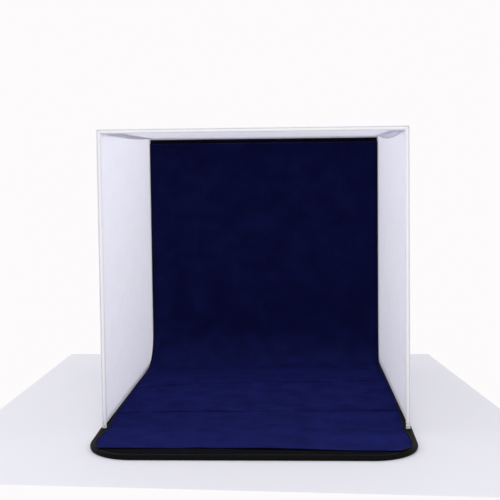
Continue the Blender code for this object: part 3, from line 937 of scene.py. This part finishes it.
white_hooks = touch_tape_material(
    "white_nylon_hook_tape", white_hook_colours, roughness=0.6, shine=0.5
)
black_loops = touch_tape_material(
    "black_nylon_loop_tape", black_loop_colours, roughness=0.9, shine=0.0
)
for strip_name, node, material, thread, slot_name, lap in (
    ("back_hook_tape", "back_hook_strip", white_hooks, white_thread, "white_fabric", 0),
    ("cloth_loop_tape", "backdrop_loop_strip", black_loops, black_thread, "black_fabric", loop_stitch_lap),
):
    low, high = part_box(node)
    outline = [(low.x, low.z), (high.x, low.z), (high.x, high.z), (low.x, high.z)]
    strip = slab(strip_name, outline, -high.y, -low.y, strip_edge_radius, material)
    strip.data.transform(Matrix.Rotation(math.pi / 2, 4, "X"))
    steps = panel_steps(low.x + seam_gap, high.x - seam_gap)
    rows = [
        [(x, low.y - ahead, z) for x in steps]
        for z, ahead in ((low.z + strip_stitch_inset, lap), (high.z - strip_stitch_inset, 0))
    ]
    sewn = stitch_rows(strip_name + "_stitches", rows, thread)
    for piece in (strip, sewn):
        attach(piece, "rear_frame")
    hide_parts(node)

# Backdrop cloth. One long cloth of brushed navy polyester, made as two pieces because the flap
# moves alone. This piece lies over the base and sweeps up to the loop strip; the sweep starts
# further forward on the left. It shows two faint creases from being folded.
cloth_thickness = 0.0008
cloth_columns = 96
cloth_spacing = 0.0038
edge_tape_width = 0.0038
edge_tape_inset = 0.001
edge_tape_sides = 14
edge_tape_powers = (0.5, 0.7)
edge_tape_reach_columns = 6
# The sweep's reach forward and its height, at the left, middle and right of the cloth.
sweep_reaches = (0.1434, 0.0584, 0.0274)
sweep_tops = (0.085, 0.075, 0.095)
sweep_steps = 30
upright_spacing = 0.0055
upright_margin = 0.0012
top_lap = 0.0042
top_lap_ahead = 0.0013
top_lap_length = 0.006
crease_depths = (0.117, 0.3696)
crease_height = 0.0013
crease_half_width = 0.0034
crease_fades = (0.85, 0.15)
crease_fade_size = 0.08
crease_seed = 63
cloth_ripple = 0.00035
cloth_ripple_size = 0.07
cloth_ripple_seed = 61
cloth_crinkle = 0.00015
cloth_crinkle_size = 0.02
cloth_crinkle_seed = 62
# How far the cloth's side stands beyond its taper, by depth. It draws in at the brackets.
side_spread = (
    (-0.350, 0.0078), (-0.310, 0.0062), (-0.270, 0.0032), (-0.246, 0.0008), (-0.236, 0.0),
    (-0.204, 0.0), (-0.180, 0.0012), (-0.140, 0.0034), (-0.090, 0.0042), (0.100, 0.0042),
    (0.300, 0.0),
)
roll_cover = 0.0008
roll_cover_half_width = 0.006
blend_reach = 0.012
floor_folds = (
    (((-0.20, 0.10), (-0.08, 0.17)), 0.006, 0.0008),
    (((0.09, 0.06), (0.20, 0.13)), 0.006, 0.0007),
    (((0.02, 0.28), (0.16, 0.24)), 0.007, 0.0006),
    (((-0.25, -0.07), (-0.12, -0.03)), 0.006, 0.0007),
    (((0.12, -0.02), (0.24, -0.07)), 0.006, 0.0007),
    (((-0.02, -0.06), (0.05, 0.02)), 0.005, 0.0006),
    (((-0.15, 0.75), (0.05, 0.68)), 0.010, 0.0008),
    (((0.10, 0.95), (0.23, 0.85)), 0.012, 0.0007),
)
navy_colours = ("#161a4a", "#1e235d")
navy_sheen = "#3b40a8"
navy_nap = 0.0016
navy_cloud = 0.05
navy_thread = 0.0014
nap_shades = (0.72, 1.22)
# Painted shade: over this stretch of the cut the colour darkens to the share below, so the upright part
# looks darker.
upright_shade_span = (0.45, 0.70)
upright_painted_shade = 0.43
# Painted shade along the creases: its half width, how far its line wanders, and the shares the colour
# darkens to.
crease_shade_half_width = 0.008
crease_shade_waver = 0.006
crease_painted_shades = (0.30, 0.85)


def navy_material(name, creases):
    """Navy polyester, brushed: a short matt nap that lightens where it is seen edge on.

    Painted shade darkens the colour of the upright part, which gets less light than the floor
    part, and painted shade darkens it along the creases. The real nap is 0.3 mm long, too fine
    to show, so its flecks are drawn 1.6 mm wide.
    """
    settings = {"Roughness": 0.9, "IOR": 1.5, "Specular IOR Level": 0.0}
    sheen = {"Sheen Weight": 0.06, "Sheen Roughness": 0.45, "Sheen Tint": linear(navy_sheen)}
    material, tree, shader = start_material(name, {**settings, **sheen})
    place = add_node(tree, "ShaderNodeUVMap", {"uv_map": "cut"})
    colour, _ = mottle(tree, place, navy_cloud, cloud_spread, navy_colours)
    settings = {"Vector": place, "Scale": 1 / navy_nap, "Detail": 2.0}
    nap = add_node(tree, "ShaderNodeTexNoise", settings)
    settings = {"Vector": place, "Scale": 1 / navy_cloud, "Detail": 3.0}
    waver = add_node(tree, "ShaderNodeTexNoise", settings)
    middle = {"From Min": 0.5 - cloud_spread, "From Max": 0.5 + cloud_spread}
    settings = {"Value": nap, "To Min": nap_shades[0], "To Max": nap_shades[1], **middle}
    depth = add_node(tree, "ShaderNodeMapRange", settings)
    settings = {"Value": waver, "To Min": crease_painted_shades[0], "To Max": crease_painted_shades[1], **middle}
    crease_shade = add_node(tree, "ShaderNodeMapRange", settings)
    along = add_node(tree, "ShaderNodeSeparateXYZ", {0: place}).outputs["Y"]
    # Painted shade on the upright part: the colour darkens up the cut, where the cloth stands upright.
    settings = {"Value": along, "From Min": upright_shade_span[0], "From Max": upright_shade_span[1], "To Min": 1.0}
    settings.update({"To Max": upright_painted_shade, "interpolation_type": "SMOOTHSTEP"})
    shades = [add_node(tree, "ShaderNodeMapRange", settings)]
    # Painted shade along each crease: a darker line that wanders about the crease's place.
    for crease in creases:
        settings = {"operation": "MULTIPLY_ADD", 0: waver, 1: crease_shade_waver, 2: along}
        line = add_node(tree, "ShaderNodeMath", settings)
        settings = {"operation": "SUBTRACT", 0: line, 1: crease + crease_shade_waver / 2}
        line = add_node(tree, "ShaderNodeMath", settings)
        line = add_node(tree, "ShaderNodeMath", {"operation": "ABSOLUTE", 0: line})
        settings = {"Value": line, "From Max": crease_shade_half_width, "To Min": crease_shade, "To Max": 1.0}
        settings["interpolation_type"] = "SMOOTHSTEP"
        shades.append(add_node(tree, "ShaderNodeMapRange", settings))
    # The nap's flecks and the painted shades multiply into one darkening of the colour.
    for shade in shades:
        depth = add_node(tree, "ShaderNodeMath", {"operation": "MULTIPLY", 0: depth, 1: shade})
    settings = {"operation": "SCALE", 0: colour, "Scale": depth}
    flecked_and_shaded = add_node(tree, "ShaderNodeVectorMath", settings)
    settings = {"operation": "ADD", 0: weave_height(tree, place, navy_thread), 1: nap}
    height = add_node(tree, "ShaderNodeMath", settings)
    settings = {"Strength": 0.55, "Distance": 0.0003, "Height": height}
    bump = add_node(tree, "ShaderNodeBump", settings)
    set_node(tree, shader, {"Base Color": flecked_and_shaded, "Normal": bump})
    return material


def eased(shares):
    """Shares that start and end their rise softly."""
    return shares * shares * (3 - 2 * shares)


def between(share, values):
    """A value that runs from left through middle to right across the cloth."""
    left, middle, right = values
    return middle + ((right if share > 0 else left) - middle) * share * share


def cloth_half(depth):
    """Half the cloth's width at a depth: it narrows to the back and at the brackets."""
    taper = (upright_half - floor_half) * ramp(depth, front_y, cloth_y)
    return floor_half + taper + np.interp(depth, *zip(*side_spread))


def relief(points, distances, free):
    """Lays ripples, creases and folds on a grid of cloth where it is free, on its upper face."""
    across = points[..., 0]
    rise = cloth_ripple * (1 + drifts(across, distances, cloth_ripple_size, cloth_ripple_seed))
    rise += cloth_crinkle * (1 + drifts(across, distances, cloth_crinkle_size, cloth_crinkle_seed))
    for k, depth in enumerate(crease_depths):
        apart = (distances - (front_y + depth - fold_y)) / crease_half_width
        wander = drifts(across, distances, crease_fade_size, crease_seed + k)
        uneven = crease_fades[0] + crease_fades[1] * wander
        rise += crease_height * uneven * np.exp(-np.abs(apart))
    rise += roll_cover * np.exp(-((distances / roll_cover_half_width) ** 2))
    rise += fold_height(across, distances, floor_folds)
    return points + outward_of(points) * (rise * free)[..., None]


def edge_tape(name, points, side_name):
    """The narrow tape folded over one side edge of a cloth."""
    column, reach = (0, 1) if side_name == "left" else (-1, -1)
    within = column + reach * edge_tape_reach_columns
    line = points[:, column]
    along = np.gradient(line, axis=0)
    inward = np.cross(outward_of(points)[:, within], along)
    inward = unit(inward * np.sign(np.sum(inward * (points[:, within] - line))))
    up = unit(np.cross(along, inward))
    half = edge_tape_width / 2
    turns = np.linspace(0, 2 * math.pi, edge_tape_sides, endpoint=False)
    flat = np.copysign(np.abs(np.cos(turns)) ** edge_tape_powers[0], np.cos(turns)) * half
    rise = np.copysign(np.abs(np.sin(turns)) ** edge_tape_powers[1], np.sin(turns))
    rise *= cloth_thickness
    middle = line + inward * (half - edge_tape_inset)
    rings = middle[:, None] + inward[:, None] * flat[:, None] + up[:, None] * rise[:, None]
    return swept_body(name, rings, travelled(spans(line)), tape)


sweep_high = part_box("backdrop_sweep")[1]
front_y = (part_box("front_left_pin")[0].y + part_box("front_left_pin")[1].y) / 2
fold_y = roll_centre.y
cloth_y = sweep_high.y - cloth_thickness / 2
cloth_z = board_top + seam_gap + cloth_thickness / 2
floor_half = -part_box("backdrop_sweep_left_edge")[0].x
upright_half = upright_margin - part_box("backdrop_loop_strip")[0].x
sweep_start_y = fold_y + blend_reach
creases = [front_y + depth - sweep_start_y for depth in crease_depths]
navy = navy_material("navy_brushed_polyester", creases)
floor_rows = round((cloth_y - sweep_reaches[1] - sweep_start_y) / cloth_spacing)
upright_rows = round((sweep_high.z - sweep_tops[1]) / upright_spacing)
points = []
for share in np.linspace(-1, 1, cloth_columns + 1):
    start = cloth_y - between(share, sweep_reaches)
    top = cloth_z + between(share, sweep_tops)
    side_view = [(y, cloth_z) for y in np.linspace(sweep_start_y, start, floor_rows + 1)]
    for t in np.linspace(0, 1, sweep_steps + 1)[1:]:
        y = cloth_y + (1 - t) ** 2 * (start - cloth_y)
        side_view.append((y, cloth_z + t * t * (top - cloth_z)))
    heights = np.linspace(top, sweep_high.z + top_lap, upright_rows + 1)[1:]
    side_view += [(cloth_y, z) for z in heights]
    points.append([(share * (cloth_half(y) - edge_tape_inset), y, z) for y, z in side_view])
points = np.array(points).transpose(1, 0, 2)
distances = blend_reach + travelled(spans(points))
free = ramp(distances.max(axis=0) - distances, 0, 2 * top_lap_length)
points = relief(points, distances, free)
lap = ramp(points[..., 2], sweep_high.z - top_lap_length, sweep_high.z)
points[..., 1] -= top_lap_ahead * eased(lap)
sweep = sheet_body("backdrop_cloth", points, cloth_thickness, navy)
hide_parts("backdrop_sweep")
edges = []
for side_name in ("left", "right"):
    edging = edge_tape(f"backdrop_{side_name}_tape", points, side_name)
    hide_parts(f"backdrop_sweep_{side_name}_edge")
    edges.append(edging)
for piece in (sweep, *edges):
    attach(piece, "base")
    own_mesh(piece)
flat_size(points)

# Hook strip on the flap. A wide black hook tape covers the front of the flap up to its
# binding, and grips the underside of the cloth laid over it.
flap_strip_inset = 0.0076
flap_strip_spacing = 0.004
black_hook_colours = ("#19191d", "#0c0c0e")
black_hooks = touch_tape_material(
    "black_nylon_hook_tape", black_hook_colours, roughness=0.8, shine=0.0
)
strip_low, strip_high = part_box("flap_hook_strip")
half = base_half - flap_strip_inset
radius = flap_radius - flap_strip_inset
strip_front = flap_low.y + flap_strip_inset
edge, _, _ = edge_line(flap_high.y, strip_front, half, radius, flap_strip_spacing)
corner_x = half - radius + math.sqrt(radius**2 - (strip_front + radius - strip_high.y) ** 2)
outline = [place for place in edge if place[1] < strip_high.y]
outline = [(-corner_x, strip_high.y), *outline, (corner_x, strip_high.y)]
strip = slab("flap_hook_tape", outline, strip_low.z, strip_high.z, strip_edge_radius, black_hooks)
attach(strip, "flap")
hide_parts("flap_hook_strip")

# Front of the backdrop cloth. The same cloth runs on over the fold and lies loose on the flap.
# Its cut front edge rests on the hook strip, a little askew, and lifts off it in two places.
front_edge = ((-0.29, -0.363), (-0.10, -0.358), (0.03, -0.365), (0.18, -0.372), (0.29, -0.375))
edge_smooth_columns = 15
lift_off = ((-0.098, 0.016, 0.0011), (0.075, 0.085, 0.0019))
packed_lift = 0.0014
packed_waves = 2.3
lift_length = 0.030
climb_length = 0.010
side_lift_start = 0.2865
side_lift_length = 0.0065
side_lift_height = 0.0015
corner_margin = 0.0056
corner_softness = 0.0025
corner_share = 0.88
navy_front = navy_material("navy_brushed_polyester_front", [])
apron_back = fold_y + blend_reach
shares = np.linspace(-1, 1, cloth_columns + 1)
edge_ys = np.interp(shares * floor_half, *zip(*front_edge))
edge_ys = np.pad(edge_ys, edge_smooth_columns // 2, mode="edge")
kernel = np.hanning(edge_smooth_columns)
edge_ys = np.convolve(edge_ys, kernel / kernel.sum(), mode="valid")
rows = round((apron_back - edge_ys.min()) / cloth_spacing)
depths = apron_back + (edge_ys - apron_back) * np.linspace(0, 1, rows + 1)[:, None]
# The cloth's side follows the base's width, then the flap's corner, with a soft turn between.
beyond = np.clip(flap_low.y + flap_radius - depths, 0, flap_radius * corner_share)
corner_half = base_half - flap_radius + np.sqrt(flap_radius**2 - beyond**2) - corner_margin
halves = np.exp(-cloth_half(depths) / corner_softness) + np.exp(-corner_half / corner_softness)
across = shares * (-corner_softness * np.log(halves) - edge_tape_inset)
climb = ramp(depths, strip_high.y + climb_length / 2, strip_high.y - climb_length / 2)
climb = eased(climb) * (strip_high.z - board_top)
side_lift = ramp(np.abs(across), side_lift_start, side_lift_start + side_lift_length)
wave = packed_lift * (1 + np.cos(math.pi * packed_waves * across / floor_half)) / 2
for middle, half_width, height in lift_off:
    wave += height * np.exp(-(((across - middle) / half_width) ** 4))
ahead = ramp(depths, edge_ys + lift_length, edge_ys)
heights = cloth_z + np.maximum(climb, eased(side_lift) * side_lift_height) + wave * ahead**2
points = np.stack([across, depths, heights], axis=2)
points = relief(points[::-1], (depths - fold_y)[::-1], 1)
apron = sheet_body("backdrop_cloth_front", points, cloth_thickness, navy_front)
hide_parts("backdrop_apron")
edges = []
for side_name in ("left", "right"):
    edging = edge_tape(f"backdrop_front_{side_name}_tape", points, side_name)
    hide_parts(f"backdrop_apron_{side_name}_edge")
    edges.append(edging)
bend_start, bend_end = (0, apron_back, board_top), (0, fold_y - blend_reach, board_top)
for piece in (apron, *edges):
    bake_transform(piece)
    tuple(bend_start)
    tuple(bend_end)
flat_size(points)

# Studio. The tent stands on a plain pale table in an even white surround, lit from above by a
# wide soft lamp, from the front by a large one and from each side by a smaller one.
table_corners = ((-0.535, 0.53), (0.43, 0.522), (0.585, -0.584), (-0.575, -0.515))
floor_colour = "#e6e6eb"
room_light = 0.80
room_colour = "#f7f6fa"
backdrop_white = "#fdfbfc"
table_mesh = bpy.data.meshes.new("table")
table_mesh.from_pydata([(x, y, 0) for x, y in table_corners], [], [[3, 2, 1, 0]])
settings = {"Roughness": 0.6, "Base Color": linear(floor_colour)}
table_mesh.materials.append(start_material("white_laminate", settings)[0])
staged = [add_object("table", table_mesh)]
for lamp_name, spot, aim, size, power in (
    ("top_lamp", (0.0, -0.1, 1.9), (0.0, 0.05, 0.0), 2.0, 0.5),
    ("front_lamp", (0.4, -3.2, 1.3), (0.0, 0.0, 0.3), 1.6, 23.5),
    ("left_lamp", (-1.35, 0.0, 1.45), (0.0, 0.05, 0.4), 1.0, 8.0),
    ("right_lamp", (1.2, 0.12, 1.65), (0.0, 0.05, 0.4), 0.9, 6.2),
):
    data = bpy.data.lights.new(lamp_name, "AREA")
    data.shape = "SQUARE"
    data.size = size
    data.energy = power
    lamp = add_object(lamp_name, data)
    lamp.location = spot
    lamp.rotation_euler = (Vector(aim) - Vector(spot)).to_track_quat("-Z", "Y").to_euler()
    staged.append(lamp)
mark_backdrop(*staged)
world = bpy.data.worlds.new("white_room")
bpy.context.scene.world = world
world.use_nodes = True
tree = world.node_tree
room = set_node(tree, tree.nodes["Background"], {0: linear(room_colour), 1: room_light})
seen = add_node(tree, "ShaderNodeBackground", {0: linear(backdrop_white), 1: 1.0})
path = add_node(tree, "ShaderNodeLightPath").outputs
either = path["Is Camera Ray"]
for ray in ("Is Glossy Ray", "Is Transmission Ray"):
    either = add_node(tree, "ShaderNodeMath", {"operation": "MAXIMUM", 0: either, 1: path[ray]})
mixed = add_node(tree, "ShaderNodeMixShader", {0: either, 1: room, 2: seen})
set_node(tree, tree.nodes["World Output"], {0: mixed})

# Camera. It stands 1.9 m in front, a little to the right and almost at roof height, and looks
# slightly down.
camera_spot = (0.0900, -2.1270, 0.5537)
camera_turn = 0.04986
camera_tilt = 0.06162
camera_roll = -0.01187
camera_lens = 71.56
camera_shift = -0.08
camera_data = bpy.data.cameras.new("camera")
camera_data.lens = camera_lens
camera_data.shift_y = camera_shift
camera = add_object("camera", camera_data)
turned = Matrix.Rotation(camera_turn, 4, "Z") @ Matrix.Rotation(math.pi / 2 - camera_tilt, 4, "X")
turned = turned @ Matrix.Rotation(camera_roll, 4, "Z")
camera.matrix_world = Matrix.Translation(camera_spot) @ turned
bpy.context.scene.camera = camera
bpy.context.scene.view_settings.view_transform = "Standard"

sizes = {"packed": packed_bounds, "shown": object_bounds()}
sizes = {name: [list(corner) for corner in both] for name, both in sizes.items()}
